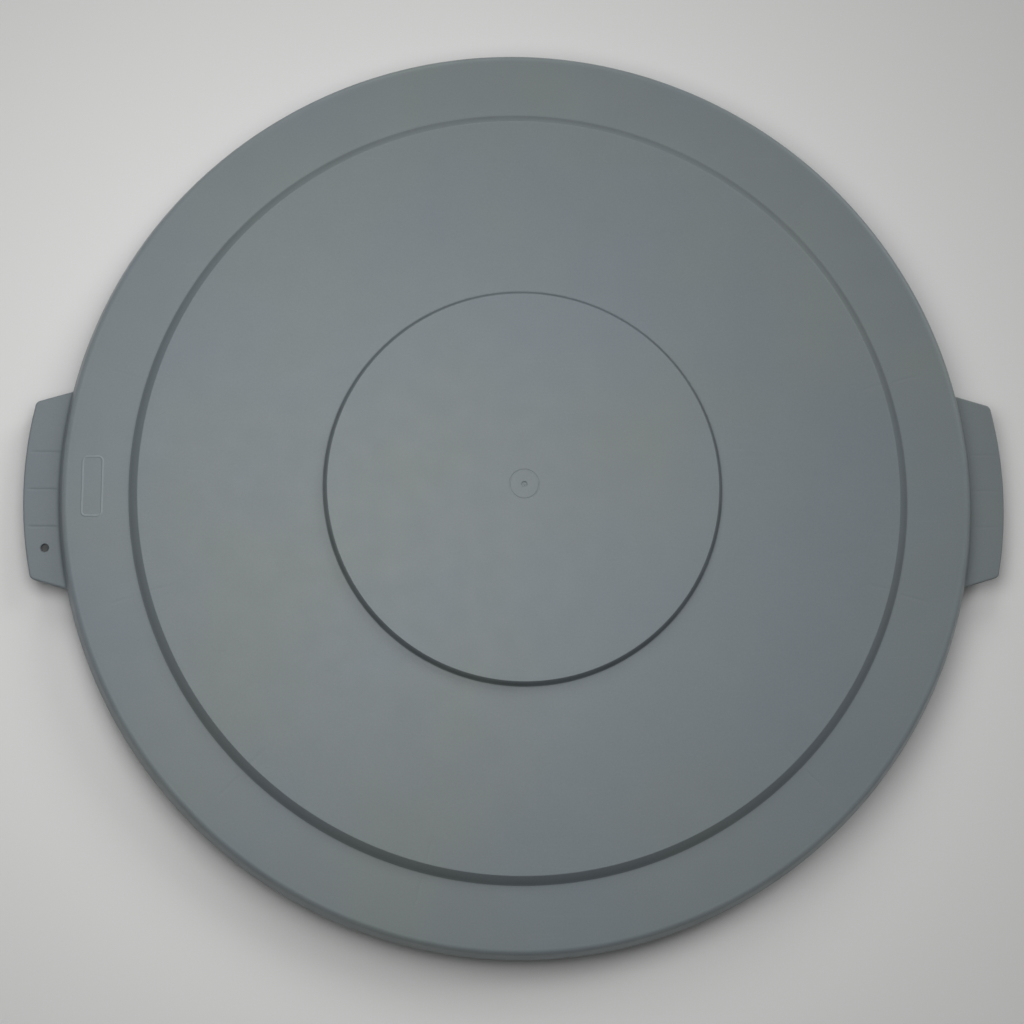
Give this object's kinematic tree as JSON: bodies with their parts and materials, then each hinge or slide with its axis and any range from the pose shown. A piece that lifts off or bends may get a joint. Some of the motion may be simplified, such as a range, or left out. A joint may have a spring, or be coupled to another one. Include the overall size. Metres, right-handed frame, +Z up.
{
  "type": "container lid",
  "caption": "Round snap-fit plastic lid with a raised centre disc, a stepped rim, a sloping shoulder, a skirt with snap beads and opposite grip tabs.",
  "frame": {"origin": "on the lid's axis, level with the lower edge of the skirt, which it rests on", "axes": "+Z up through the centre disc; X along the line through the two grip tabs, with the tab that has the tether hole at -X; +Y across"},
  "size_m": [0.608, 0.565, 0.041],
  "materials": {
    "moulded_top": "satin",
    "moulded_underside": "satin",
    "moulded_tab": "satin"
  },
  "bodies": {
    "lid": {"centre_disc": "moulded_top", "disc_step": "moulded_top", "plateau": "moulded_top", "plateau_step": "moulded_top", "rim_band": "moulded_top", "rim_seat": "moulded_top", "shoulder": "moulded_top", "skirt": "moulded_top", "locating_ring": "moulded_underside", "snap_beads": "moulded_underside", "rim_gussets": "moulded_underside", "mark_frame": "moulded_top"},
    "left_grip": {"left_tab": "moulded_tab", "left_tab_wall": "moulded_tab", "left_tab_ribs": "moulded_underside"},
    "right_grip": {"right_tab": "moulded_tab", "right_tab_wall": "moulded_tab", "right_tab_ribs": "moulded_underside"}
  },
  "joints": [
    {"name": "left_tab_flex", "type": "hinge", "parent": "lid", "child": "left_grip", "pos_m": [-0.2828, 0, 0.018], "axis": [0, 1, 0], "range_deg": [0, 8], "stiffness_Nm_per_rad": 5},
    {"name": "right_tab_flex", "type": "hinge", "parent": "lid", "child": "right_grip", "pos_m": [0.2828, 0, 0.018], "axis": [0, -1, 0], "range_deg": [0, 8], "stiffness_Nm_per_rad": 5}
  ]
}
